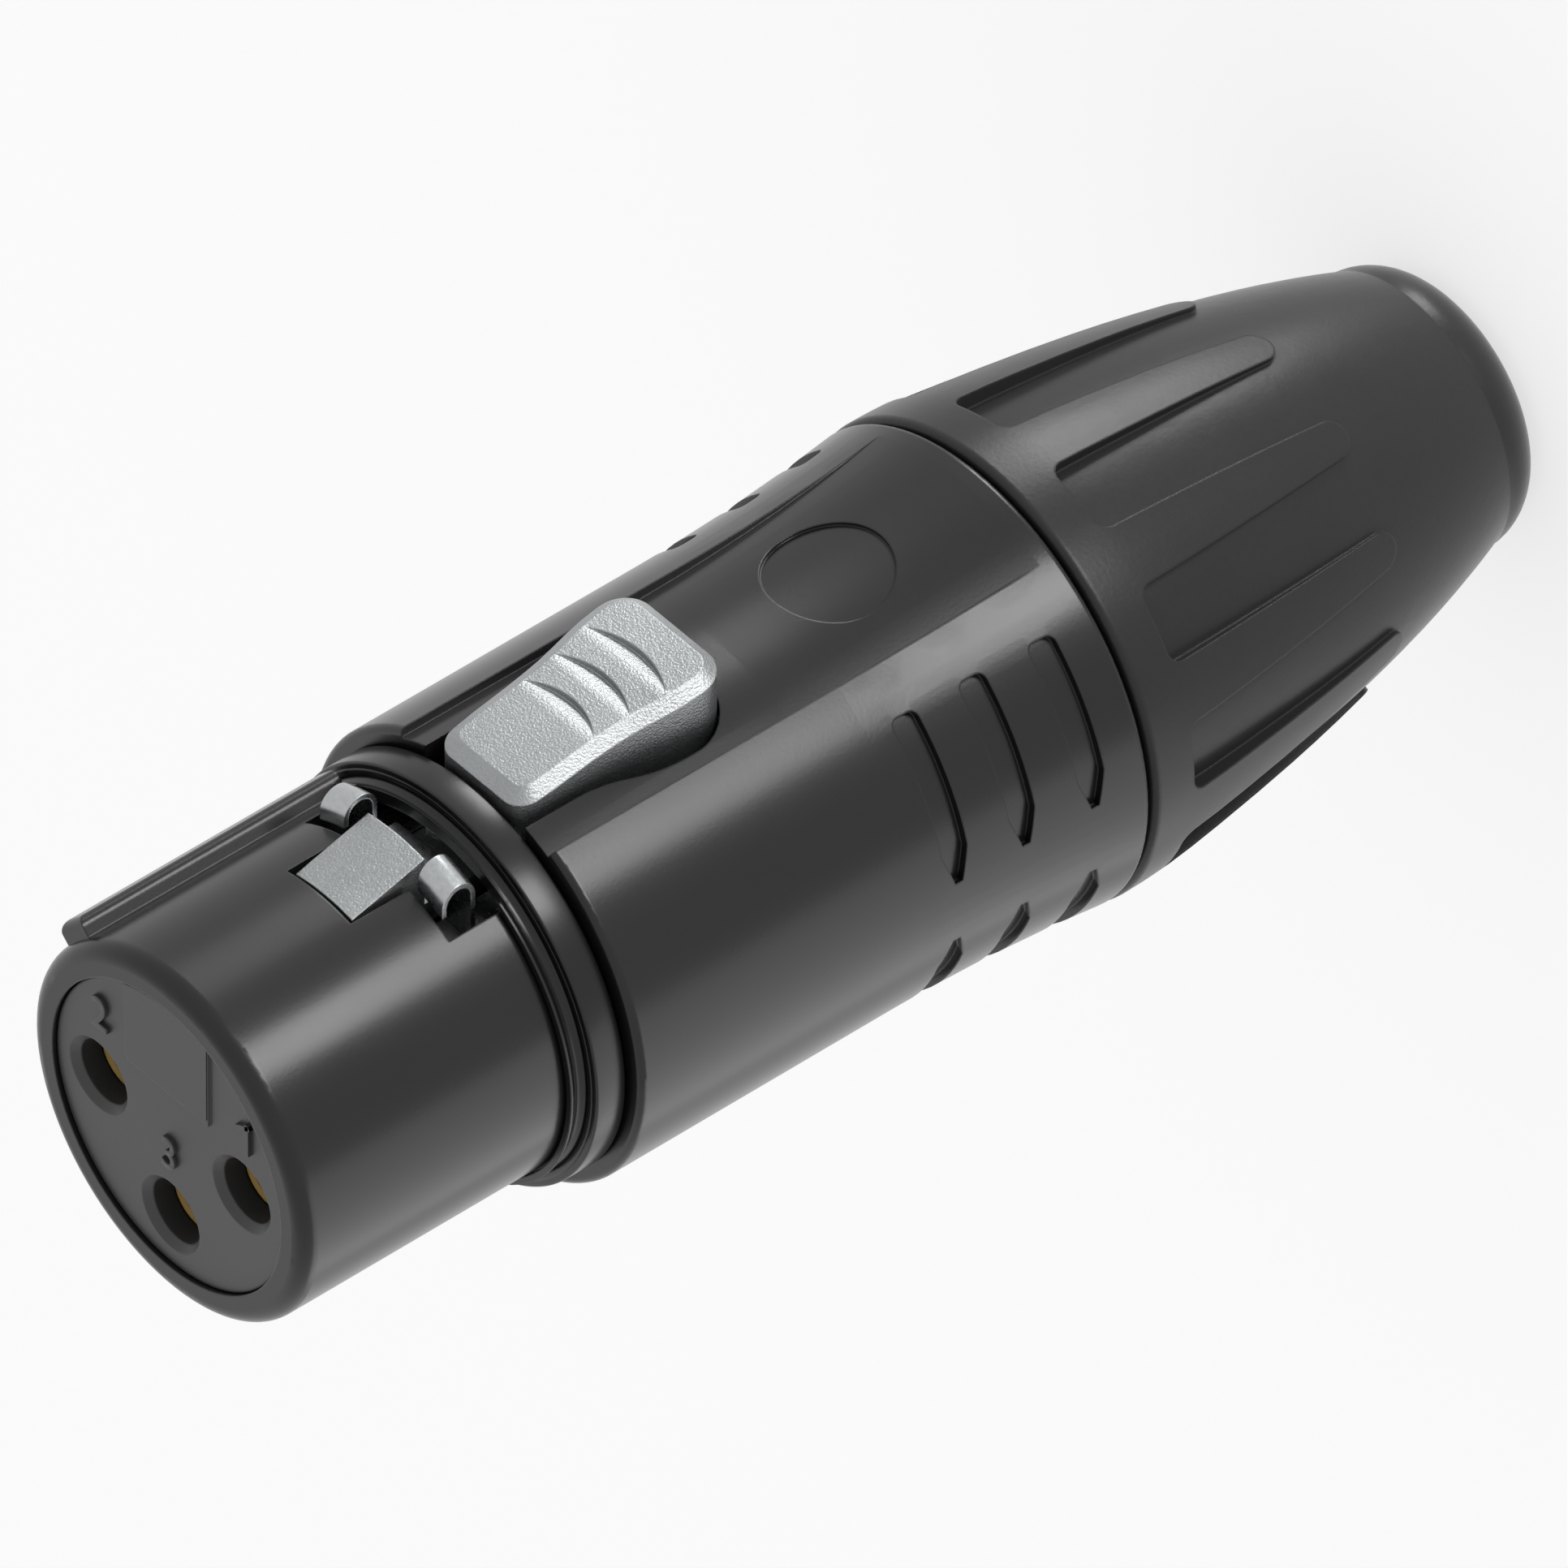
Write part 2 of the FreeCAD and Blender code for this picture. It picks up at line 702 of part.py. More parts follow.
def latch_lever():
    cap = latch_cap()
    for setback, width in zip(scallop_setbacks, scallop_widths):
        cap = cap.cut(scallop(setback, width))
    arm = sideways(
        arm_half_width,
        (from_nose(tooth_front_setback), tooth_front_height),
        (from_nose(tooth_top_setback), tooth_top_height),
        (from_nose(tooth_top_setback), arm_top),
        (from_nose(cap_front_setback) - cap_front_corner, arm_top),
        (from_nose(cap_front_setback) - cap_front_corner, cap_floor + 0.5),
        (from_nose(cap_back_setback), cap_floor + 0.5),
        (from_nose(cap_back_setback), arm_bottom),
        (from_nose(tooth_front_setback) - tooth_undercut, arm_bottom),
        (from_nose(tooth_front_setback) - 0.2, tooth_front_height - 0.5),
    )
    tail_top = pin_height + eye_radius
    tail_front_z = from_nose(cap_back_setback) + tail_overlap
    tail = block(tail_half_width, arm_bottom, tail_top, from_nose(pin_setback), tail_front_z)
    eye = cross_pin(eye_radius, tail_half_width)
    spigot = Part.makeCylinder(spring_mean_radius - spring_wire - running_gap, spigot_length + 0.5,
                               latch_point(0, arm_bottom - spigot_length, from_nose(spring_setback)),
                               Vector(0, -1, 0))
    lever = cap.fuse(arm).fuse(tail).fuse(eye).fuse(spigot)
    lever = lever.cut(cross_pin(pin_radius + running_gap, tail_half_width + 1))
    return lever.removeSplitter()


def latch_pin():
    return cross_pin(pin_radius, pin_half_length)


def spring_floor():
    return channel_floor - spring_pocket_depth


def latch_spring():
    # A coil spring between the pocket in the carrier and the lever
    low = spring_floor() + seat_gap
    length = arm_bottom - seat_gap - low - spring_wire
    pitch = length / spring_coils
    helix = Part.makeHelix(pitch, length, spring_mean_radius)
    section = Part.Wire(Part.makeCircle(0.5 * spring_wire, Vector(spring_mean_radius, 0, 0), Vector(0, 1, 0)))
    coil = Part.Wire(helix.Edges).makePipeShell([section], True, True)
    coil.rotate(Vector(0, 0, 0), Vector(1, 0, 0), 90)
    coil.translate(latch_point(0, low + 0.5 * spring_wire, from_nose(spring_setback)))
    return coil


# Cable clamp, gland nut and boot
def cone_radius(z):
    # The inside of the gland nut narrows from its tube to the end of its cone.
    share = (nut_cone_top_z - z) / (nut_cone_top_z - nut_cone_bottom_z)
    return nut_tube_bore_radius + share * (nut_cone_bottom_radius - nut_tube_bore_radius)


def cable_clamp():
    # A collet: three keys towards the carrier, a ring, and jaws that the nut's cone closes
    top = carrier_back_z - slide_gap
    bottom = nut_cone_bottom_z + slide_gap
    ring_bottom = top - clamp_ring_length
    bite_top = bottom + clamp_bite_length
    pitch = clamp_bite_length / clamp_teeth
    gap = nut_tube_bore_radius - clamp_radius
    teeth = []
    for index in range(clamp_teeth):
        z = bite_top - index * pitch
        teeth.append((clamp_bite_radius, z - 0.2 * pitch))
        teeth.append((clamp_bite_radius + clamp_tooth_depth, z - pitch))
    collet = turned(
        (clamp_radius, top),
        (clamp_radius - clamp_wall, top),
        (clamp_radius - clamp_wall, ring_bottom),
        (clamp_bite_radius + clamp_tooth_depth, bite_top),
        *teeth,
        (cone_radius(bottom) - gap, bottom),
        (clamp_radius, nut_cone_top_z),
    )
    for angle in (0, 90):
        slit = Part.makeBox(clamp_slit_width, 4 * clamp_radius, clamp_slit_length,
                            Vector(-0.5 * clamp_slit_width, -2 * clamp_radius, bottom - 0.01))
        collet = collet.cut(turn(slit, angle + 45))
    key_bottom = top - 1
    key_inner = clamp_radius - clamp_key_thickness
    for angle in key_angles:
        key_top = top + clamp_key_length
        key = block(0.5 * key_slot_width - slide_gap, key_inner, clamp_radius + 1, key_bottom, key_top)
        key = key.common(drum(clamp_radius, key_bottom, key_top))
        collet = collet.fuse(turn(key, angle))
    return collet.removeSplitter()


def gland_nut():
    tube_radius = thread_radius - running_gap
    tube_top = body_back_z + nut_thread_length
    shoulder_z = seam_z - seam_gap
    chamfer = 0.4
    return turned(
        (nut_hole_radius, nut_end_z),
        (nut_end_radius, nut_end_z),
        (nut_shoulder_radius, nut_cone_top_z - 1),
        (nut_shoulder_radius, shoulder_z),
        (tube_radius, shoulder_z),
        (tube_radius, tube_top - chamfer),
        (tube_radius - chamfer, tube_top),
        (nut_tube_bore_radius, tube_top),
        (nut_tube_bore_radius, nut_cone_top_z),
        (nut_cone_bottom_radius, nut_cone_bottom_z),
        (nut_hole_radius, nut_cone_bottom_z),
    )


def boot_solid(share):
    # A share of 0 gives the boot over its lands, 1 the floor of the flutes and the tail.
    end_radius = boot_flat_radius + boot_end_rounding - share * boot_tail_step
    knots = [Vector(boot_radius - draw - share * depth, 0, seam_z - back) for back, draw, depth in boot_knots]
    knots.append(Vector(end_radius, 0, boot_end_rounding))
    curve = Part.BSplineCurve()
    curve.interpolate(knots)
    end_centre = (end_radius - boot_end_rounding, boot_end_rounding)
    low = quarter(end_centre, boot_end_rounding, -90)
    middle = quarter(end_centre, boot_end_rounding, -45)
    corners = [Vector(low[0], 0, low[1]), Vector(0, 0, low[1]), Vector(0, 0, seam_z), knots[0]]
    rounding = Part.Arc(knots[-1], Vector(middle[0], 0, middle[1]), corners[0])
    edges = [curve.toShape(), rounding.toShape()]
    for here, there in zip(corners, corners[1:]):
        edges.append(Part.LineSegment(here, there).toShape())
    solid = Part.Face(Part.Wire(edges)).revolve(Vector(0, 0, 0), Vector(0, 0, 1), 360)
    # The seam line of the turned surface goes to the middle of a land between two flutes.
    return turn(solid, 90 + flute_angle + 180.0 / flute_count)


def flute():
    # A slot between two lands: rounded towards the seam, and open towards the tail
    side = 0.5 * flute_width
    bend = math.sqrt(0.5)
    face = path(
        lambda spot: Vector(spot[0], -boot_radius - 1, spot[1]),
        (side + land_corner, flute_back_z - 1),
        (side + land_corner, flute_back_z),
        ((side + land_corner * (1 - bend), flute_back_z + land_corner * (1 - bend)),
         (side, flute_back_z + land_corner)),
        (side, flute_front_z - flute_corner),
        ((side - flute_corner * (1 - bend), flute_front_z - flute_corner * (1 - bend)),
         (side - flute_corner, flute_front_z)),
        (-side + flute_corner, flute_front_z),
        ((-side + flute_corner * (1 - bend), flute_front_z - flute_corner * (1 - bend)),
         (-side, flute_front_z - flute_corner)),
        (-side, flute_back_z + land_corner),
        ((-side - land_corner * (1 - bend), flute_back_z + land_corner * (1 - bend)),
         (-side - land_corner, flute_back_z)),
        (-side - land_corner, flute_back_z - 1),
    )
    return face.extrude(Vector(0, 0.5 * boot_radius + 1, 0))


def boot_sleeve():
    # The lands run back from the front collar as fingers on the floor that carries on into the tail.
    collar = boot_solid(0)
    collar = collar.makeFillet(boot_front_rounding, rims(collar, boot_radius, seam_z))
    collar = collar.common(drum(boot_radius + 1, flute_back_z, seam_z + 1))
    slot = flute()
    for index in range(flute_count):
        collar = collar.cut(turn(slot, flute_angle + index * 360.0 / flute_count))
    sleeve = boot_solid(1).fuse(collar)
    core = turned(
        (0, nut_end_z),
        (nut_end_radius, nut_end_z),
        (nut_shoulder_radius, nut_cone_top_z - 1),
        (nut_shoulder_radius, seam_z + 1),
        (0, seam_z + 1),
    )
    return sleeve.cut(core).cut(drum(cable_hole_radius, -1, nut_end_z + 1)).removeSplitter()


parts = {
    "housing": housing(),
    "coding_ring": coding_ring(),
    "contact_carrier": contact_carrier(),
    "ground_clip": ground_clip(),
    "latch_lever": latch_lever(),
    "latch_pin": latch_pin(),
    "latch_spring": latch_spring(),
    "cable_clamp": cable_clamp(),
    "gland_nut": gland_nut(),
    "boot_sleeve": boot_sleeve(),
}
for number, angle in enumerate(contact_angles, start=1):
    parts["contact_" + str(number)] = contact(angle)

os.makedirs("parts", exist_ok=True)
for name, shape in parts.items():
    shape.exportStep("parts/" + name + ".step")
    print(name, len(shape.Solids), round(shape.Volume, 1), shape.isValid())
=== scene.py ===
import json
import math

import bpy
from mathutils import Matrix, Vector


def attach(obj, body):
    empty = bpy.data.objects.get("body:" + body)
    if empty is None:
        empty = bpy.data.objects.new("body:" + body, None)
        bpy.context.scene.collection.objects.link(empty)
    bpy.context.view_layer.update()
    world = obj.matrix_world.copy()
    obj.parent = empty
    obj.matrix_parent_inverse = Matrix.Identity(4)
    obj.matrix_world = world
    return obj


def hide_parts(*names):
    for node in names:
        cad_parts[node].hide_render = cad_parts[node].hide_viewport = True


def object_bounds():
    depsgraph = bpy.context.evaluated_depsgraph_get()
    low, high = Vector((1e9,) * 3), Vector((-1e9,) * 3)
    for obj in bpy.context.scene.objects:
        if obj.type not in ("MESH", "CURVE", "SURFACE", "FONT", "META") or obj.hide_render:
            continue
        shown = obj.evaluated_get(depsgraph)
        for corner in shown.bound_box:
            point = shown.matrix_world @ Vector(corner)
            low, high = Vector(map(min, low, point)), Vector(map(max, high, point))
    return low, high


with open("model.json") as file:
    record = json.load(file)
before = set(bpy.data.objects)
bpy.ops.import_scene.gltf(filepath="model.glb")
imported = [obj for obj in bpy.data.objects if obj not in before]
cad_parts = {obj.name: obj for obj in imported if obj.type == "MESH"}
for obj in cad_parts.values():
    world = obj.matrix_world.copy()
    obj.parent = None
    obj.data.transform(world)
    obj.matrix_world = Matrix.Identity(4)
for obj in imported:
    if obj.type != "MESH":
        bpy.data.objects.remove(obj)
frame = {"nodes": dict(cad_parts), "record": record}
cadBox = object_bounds()
bpy.ops.object.select_all(action="DESELECT")
nodes = frame["nodes"]
mm = 0.001
noseHeight = cadBox[1][2] / mm  # the mating face stands at the top of the CAD model
print("frame loaded:", len(nodes), "CAD nodes")


def socketOf(group, name, inOut, kind, value=None):
    socket = group.interface.new_socket(name=name, in_out=inOut, socket_type=kind)
    if value is not None:
        socket.default_value = value


def mathStep(tree, operation):
    step = tree.new("ShaderNodeMath")
    step.operation = operation
    return step


def noiseStep(tree, detail):
    noise = tree.new("ShaderNodeTexNoise")
    noise.inputs["Detail"].default_value = detail
    return noise


def makeGrainGroup():
    # fine grain for a moulded or coated surface: a height for the bump and a slow change of tone
    group = bpy.data.node_groups.new("fineGrain", "ShaderNodeTree")
    socketOf(group, "Grain Size", "INPUT", "NodeSocketFloat", 9000.0)
    socketOf(group, "Cloud Size", "INPUT", "NodeSocketFloat", 250.0)
    socketOf(group, "Tone Change", "INPUT", "NodeSocketFloat", 0.1)
    socketOf(group, "Height", "OUTPUT", "NodeSocketFloat")
    socketOf(group, "Tone", "OUTPUT", "NodeSocketFloat")
    tree, link = group.nodes, group.links.new
    given = tree.new("NodeGroupInput")
    result = tree.new("NodeGroupOutput")
    place = tree.new("ShaderNodeTexCoord")
    grain = noiseStep(tree, 2.0)
    link(place.outputs["Object"], grain.inputs["Vector"])
    link(given.outputs["Grain Size"], grain.inputs["Scale"])
    link(grain.outputs["Fac"], result.inputs["Height"])
    cloud = noiseStep(tree, 4.0)
    link(place.outputs["Object"], cloud.inputs["Vector"])
    link(given.outputs["Cloud Size"], cloud.inputs["Scale"])
    # tone = 1 + change * (grain + cloud - 1)
    mixed = mathStep(tree, "ADD")
    link(grain.outputs["Fac"], mixed.inputs[0])
    link(cloud.outputs["Fac"], mixed.inputs[1])
    centred = mathStep(tree, "SUBTRACT")
    centred.inputs[1].default_value = 1.0
    link(mixed.outputs[0], centred.inputs[0])
    scaled = mathStep(tree, "MULTIPLY_ADD")
    scaled.inputs[2].default_value = 1.0
    link(centred.outputs[0], scaled.inputs[0])
    link(given.outputs["Tone Change"], scaled.inputs[1])
    link(scaled.outputs[0], result.inputs["Tone"])
    return group


grainGroup = makeGrainGroup()


def finishMaterial(name, look):
    # one coated, moulded or plated finish, with grain in its colour, roughness and bump
    material = bpy.data.materials.new(name)
    material.use_nodes = True
    tree, link = material.node_tree.nodes, material.node_tree.links.new
    shader = tree["Principled BSDF"]
    shader.inputs["Metallic"].default_value = look.get("metallic", 0.0)
    shader.inputs["Specular IOR Level"].default_value = look.get("specular", 0.5)
    grain = tree.new("ShaderNodeGroup")
    grain.node_tree = grainGroup
    grain.inputs["Grain Size"].default_value = look["grainSize"]
    grain.inputs["Tone Change"].default_value = look["toneChange"]
    tint = tree.new("ShaderNodeVectorMath")
    tint.operation = "SCALE"
    tint.inputs[0].default_value = look["color"]
    link(grain.outputs["Tone"], tint.inputs["Scale"])
    link(tint.outputs["Vector"], shader.inputs["Base Color"])
    rough = mathStep(tree, "MULTIPLY")
    rough.inputs[1].default_value = look["roughness"]
    link(grain.outputs["Tone"], rough.inputs[0])
    link(rough.outputs[0], shader.inputs["Roughness"])
    bump = tree.new("ShaderNodeBump")
    bump.inputs["Strength"].default_value = look.get("bump", 0.2)
    bump.inputs["Distance"].default_value = look.get("bumpDepth", 0.01) * mm
    link(grain.outputs["Height"], bump.inputs["Height"])
    if look.get("softEdge"):
        edge = tree.new("ShaderNodeBevel")
        edge.samples = 6
        edge.inputs["Radius"].default_value = look["softEdge"] * mm
        link(edge.outputs["Normal"], bump.inputs["Normal"])
    link(bump.outputs["Normal"], shader.inputs["Normal"])
    return material


# bumpDepth and softEdge are in mm
finishes = {
    "housing": {"color": (0.009, 0.009, 0.0092), "roughness": 0.25, "specular": 0.34,
                "grainSize": 7000.0, "bump": 0.2, "toneChange": 0.12, "softEdge": 0.1},
    "ring": {"color": (0.007, 0.007, 0.0071), "roughness": 0.26, "specular": 0.32,
             "grainSize": 8000.0, "bump": 0.15, "toneChange": 0.1, "softEdge": 0.1},
    "carrier": {"color": (0.055, 0.055, 0.0555), "roughness": 0.42,
                "grainSize": 6000.0, "bump": 0.25, "toneChange": 0.14, "softEdge": 0.12},
    # the contacts' gold is darkened to a dim gold: painted shade for the shadow that falls inside the contact
    # holes
    "contact": {"color": (0.20, 0.135, 0.048), "roughness": 0.5, "metallic": 1.0,
                "grainSize": 9000.0, "bump": 0.6, "toneChange": 0.6, "softEdge": 0.06},
    "clip": {"color": (0.38, 0.392, 0.397), "roughness": 0.28, "metallic": 1.0,
             "grainSize": 5200.0, "bump": 0.35, "toneChange": 0.35, "softEdge": 0.05},
    "lever": {"color": (0.29, 0.3, 0.305), "roughness": 0.42, "metallic": 1.0,
              "grainSize": 11000.0, "bump": 1.0, "bumpDepth": 0.03, "toneChange": 0.4, "softEdge": 0.08},
    "steel": {"color": (0.40, 0.40, 0.405), "roughness": 0.28, "metallic": 1.0,
              "grainSize": 6000.0, "toneChange": 0.2},
    "clamp": {"color": (0.72, 0.71, 0.67), "roughness": 0.45,
              "grainSize": 5000.0, "toneChange": 0.08, "softEdge": 0.1},
    "nut": {"color": (0.030, 0.030, 0.031), "roughness": 0.45,
            "grainSize": 5000.0, "bump": 0.3, "toneChange": 0.15, "softEdge": 0.08},
    "boot": {"color": (0.024, 0.024, 0.0243), "roughness": 0.32, "specular": 0.2,
             "grainSize": 5200.0, "bump": 0.45, "toneChange": 0.16, "softEdge": 0.14},
}
finishes["carrierMark"] = dict(finishes["carrier"], softEdge=0.03)
slotOf = {part["node"]: part["material_slot"] for part in frame["record"]["subparts"]}
materials = {slot: finishMaterial(slot + "Finish", look) for slot, look in finishes.items()}
for name, node in nodes.items():
    for place in range(max(1, len(node.material_slots))):
        if place < len(node.material_slots):
            node.material_slots[place].material = materials[slotOf[name]]
        else:
            node.data.materials.append(materials[slotOf[name]])
print("finishes given to the CAD nodes")

# tight: how near a vertex lies to a line that it belongs to
shared = {"tight": 0.01 * mm, "roundSides": 192, "rodSides": 64, "pegSides": 48}


def makeActive(piece):
    bpy.ops.object.select_all(action="DESELECT")
    piece.select_set(True)
    bpy.context.view_layer.objects.active = piece


def named(piece, name):
    piece.name = name
    piece.data.name = name
    return piece


def settle(piece):
    # the piece's place goes into its mesh
    makeActive(piece)
    bpy.ops.object.transform_apply(location=True, rotation=True, scale=True)
    return piece


def placeOf(across, height, setback):
    # in mm: across, height from the axis on the latch side, setback from the nose
    return Vector((across * mm, -height * mm, (noseHeight - setback) * mm))


def block(name, low, high):
    # low and high are opposite corners, each as placeOf takes it
    middle = [(a + b) / 2 for a, b in zip(low, high)]
    bpy.ops.mesh.primitive_cube_add(size=1, location=placeOf(*middle))
    piece = named(bpy.context.object, name)
    piece.scale = [abs(b - a) * mm for a, b in zip(low, high)]
    return settle(piece)


def cylinder(name, radius, depth, place, sides, turn=(0, 0, 0)):
    bpy.ops.mesh.primitive_cylinder_add(vertices=sides, radius=radius * mm, depth=depth * mm,
                                        location=place, rotation=turn)
    return settle(named(bpy.context.object, name))


def combine(piece, tool, operation):
    makeActive(piece)
    step = piece.modifiers.new("combine", "BOOLEAN")
    step.operation = operation
    step.solver = "EXACT"
    step.object = tool
    bpy.ops.object.modifier_apply(modifier=step.name)
    bpy.data.objects.remove(tool)


def roundEdges(piece, width, segments, angle=None):
    makeActive(piece)
    rounding = piece.modifiers.new("rounding", "BEVEL")
    rounding.width = width * mm
    rounding.segments = segments
    rounding.limit_method = "ANGLE"
    if angle:
        rounding.angle_limit = math.radians(angle)
    bpy.ops.object.modifier_apply(modifier=rounding.name)


def editAll(piece):
    makeActive(piece)
    bpy.ops.object.mode_set(mode="EDIT")
    bpy.ops.mesh.select_all(action="SELECT")


def closeMesh():
    # in edit mode: all faces look outwards
    bpy.ops.mesh.select_all(action="SELECT")
    bpy.ops.mesh.normals_make_consistent(inside=False)
    bpy.ops.object.mode_set(mode="OBJECT")


def selectVertices(piece, keep):
    # in edit mode: selects the vertices for which keep() is true
    bpy.ops.mesh.select_all(action="DESELECT")
    bpy.ops.object.mode_set(mode="OBJECT")
    for vertex in piece.data.vertices:
        vertex.select = keep(vertex.co)
    bpy.ops.object.mode_set(mode="EDIT")


def selectFaces(piece, keep):
    bpy.ops.mesh.select_all(action="DESELECT")
    bpy.ops.object.mode_set(mode="OBJECT")
    for face in piece.data.polygons:
        face.select = keep(face.center, face.normal)
    bpy.ops.object.mode_set(mode="EDIT")


def dress(piece, finish, smoothAngle=None):
    makeActive(piece)
    if smoothAngle:
        bpy.ops.object.shade_smooth_by_angle(angle=math.radians(smoothAngle))
    piece.data.materials.clear()
    piece.data.materials.append(materials[finish])
    piece.select_set(False)


# latch lever: thumb cap with three crescent grips, crowned tooth, arm, tail with its eye, spring peg
lever = {
    "capFront": 15.05, "capBack": 24.85, "capFloor": 6.9,
    "widths": ((16.2, 2.5), (17.0, 2.53), (17.8, 2.53), (18.6, 2.54), (19.4, 2.57), (20.2, 2.63),
               (21.0, 2.74), (21.8, 2.88), (22.6, 2.98), (23.4, 3.02)),
    "frontHalf": 2.43, "backHalf": 2.96, "frontCorner": 0.9, "backCorner": 1.25, "cornerSteps": 10,
    "topFront": 9.5, "topMiddle": 10.4, "topBack": 11.14, "chamfer": 0.52, "chamferDrop": 0.43,
    "topBand": 0.2, "topFacing": 0.7, "leastLift": 0.0005, "stationBand": 0.002,
    "grips": ((19.6, 1.95), (21.2, 2.1), (22.85, 2.22)), "gripRun": 0.6, "gripDepth": 0.24, "cutterTall": 3.0,
    "toothFront": 7.65, "toothBack": 11.15, "toothHalf": 1.62, "toothLow": 7.74, "toothHigh": 8.7,
    "toothBlock": 9.5, "undercut": 0.4, "crownSides": 256,
    "armHalf": 1.58, "armLow": 5.2, "armHigh": 6.2, "armFront": 8.45, "armBack": 24.6,
    "ribFront": 16.0, "ribHigh": 7.4, "ribInset": 0.1,
    "tailHalf": 2.1, "tailFront": 23.6, "pin": 26.0, "pinHeight": 6.1, "eye": 1.25, "eyeHole": 0.75,
    "holeBeyond": 1.0, "peg": 0.94, "pegLow": 4.4, "pegInArm": 0.5, "pegSetback": 19.0, "smoothAngle": 28,
}


def capTop(setback):
    share = (setback - lever["capFront"]) / (lever["capBack"] - lever["capFront"])
    crown = lever["topMiddle"] - 0.5 * (lever["topFront"] + lever["topBack"])
    line = lever["topFront"] + share * (lever["topBack"] - lever["topFront"])
    return line + 4 * crown * share * (1 - share)


def crossRod(name, radius, half):
    place = placeOf(0, lever["pinHeight"], lever["pin"])
    return cylinder(name, radius, 2 * half, place, shared["rodSides"], turn=(0, math.pi / 2, 0))


def makeCap():
    front, back = lever["capFront"], lever["capBack"]
    middle = 0.5 * (front + back)
    bpy.ops.mesh.primitive_plane_add(size=1, location=placeOf(0, lever["capFloor"], middle),
                                     rotation=(math.pi / 2, 0, 0))
    cap = named(bpy.context.object, "leverCap")
    cap.scale = (2 * lever["frontHalf"] * mm, (back - front) * mm, 1)
    settle(cap)
    bpy.ops.object.mode_set(mode="EDIT")
    for setback, _ in lever["widths"]:
        bpy.ops.mesh.select_all(action="SELECT")
        bpy.ops.mesh.bisect(plane_co=placeOf(0, 0, setback), plane_no=(0, 0, 1))
    tight = shared["tight"]
    for setback, half in lever["widths"] + ((back, lever["backHalf"]),):
        height = placeOf(0, 0, setback).z
        selectVertices(cap, lambda spot: abs(spot.z - height) < tight)
        bpy.ops.transform.resize(value=(half / lever["frontHalf"], 1, 1))
    for setback, corner in ((front, lever["frontCorner"]), (back, lever["backCorner"])):
        height = placeOf(0, 0, setback).z
        selectVertices(cap, lambda spot: abs(spot.z - height) < tight)
        bpy.ops.mesh.bevel(offset=corner * mm, offset_type="OFFSET", affect="VERTICES",
                           segments=lever["cornerSteps"], profile=0.5)
    bpy.ops.mesh.select_all(action="SELECT")
    rise = lever["topFront"] - lever["chamferDrop"] - lever["capFloor"]
    bpy.ops.mesh.extrude_region_move(TRANSFORM_OT_translate={"value": (0, -rise * mm, 0)})
    # the rim of the cap follows the arc of its top
    bpy.ops.object.mode_set(mode="OBJECT")
    rim = -(lever["topFront"] - lever["chamferDrop"]) * mm
    stations = sorted({round(v.co.z / mm, 3) for v in cap.data.vertices if abs(v.co.y - rim) < tight})
    bpy.ops.object.mode_set(mode="EDIT")
    band = lever["stationBand"]
    for station in stations:
        lift = capTop(noseHeight - station) - lever["topFront"]
        if abs(lift) > lever["leastLift"]:
            selectVertices(cap, lambda spot: abs(spot.z / mm - station) < band and spot.y < rim + tight)
            bpy.ops.transform.translate(value=(0, -lift * mm, 0))
    # the top is drawn in and lifted, which leaves the chamfer round it
    selectFaces(cap, lambda centre, normal: (centre.y < rim + lever["topBand"] * mm
                                             and normal.y < -lever["topFacing"]))
    bpy.ops.mesh.inset(thickness=lever["chamfer"] * mm, use_even_offset=True)
    bpy.ops.transform.translate(value=(0, -lever["chamferDrop"] * mm, 0))
    closeMesh()
    return cap


def gripCutter(arcMiddle, half):
    # a disc whose tilted floor meets the top on a straight line and ends in a curved step
    run, depth, tall = lever["gripRun"], lever["gripDepth"], lever["cutterTall"]
    radius = (half ** 2 + run ** 2) / (2 * run)
    chord = arcMiddle - run
    slope = math.atan((capTop(arcMiddle) - capTop(chord)) / run)
    pitch = math.atan(depth / run)
    along = Vector((math.cos(slope - pitch), math.sin(slope - pitch)))
    upward = Vector((-along.y, along.x))
    spot = Vector((chord, capTop(chord))) + along * (run / math.cos(pitch) - radius) + upward * tall / 2
    return cylinder("gripCutter", radius, tall, placeOf(0, spot.y, spot.x), shared["roundSides"],
                    turn=(math.atan2(upward.y, -upward.x), 0, 0))


def makeTooth():
    front, back, half = lever["toothFront"], lever["toothBack"], lever["toothHalf"]
    tooth = block("leverTooth", (-half, lever["armLow"], front), (half, lever["toothBlock"], back))
    editAll(tooth)
    cut = Vector((0, lever["armFront"] - front, lever["toothLow"] - lever["undercut"] - lever["armLow"]))
    bpy.ops.mesh.bisect(plane_co=placeOf(0, lever["armLow"], lever["armFront"]), plane_no=cut,
                        use_fill=True, clear_outer=True)
    bpy.ops.object.mode_set(mode="OBJECT")
    bpy.ops.mesh.primitive_cone_add(vertices=lever["crownSides"], radius1=lever["toothHigh"] * mm,
                                    radius2=lever["toothLow"] * mm, depth=(back - front) * mm,
                                    location=placeOf(0, 0, 0.5 * (front + back)))
    combine(tooth, settle(named(bpy.context.object, "toothCrown")), "INTERSECT")
    return tooth


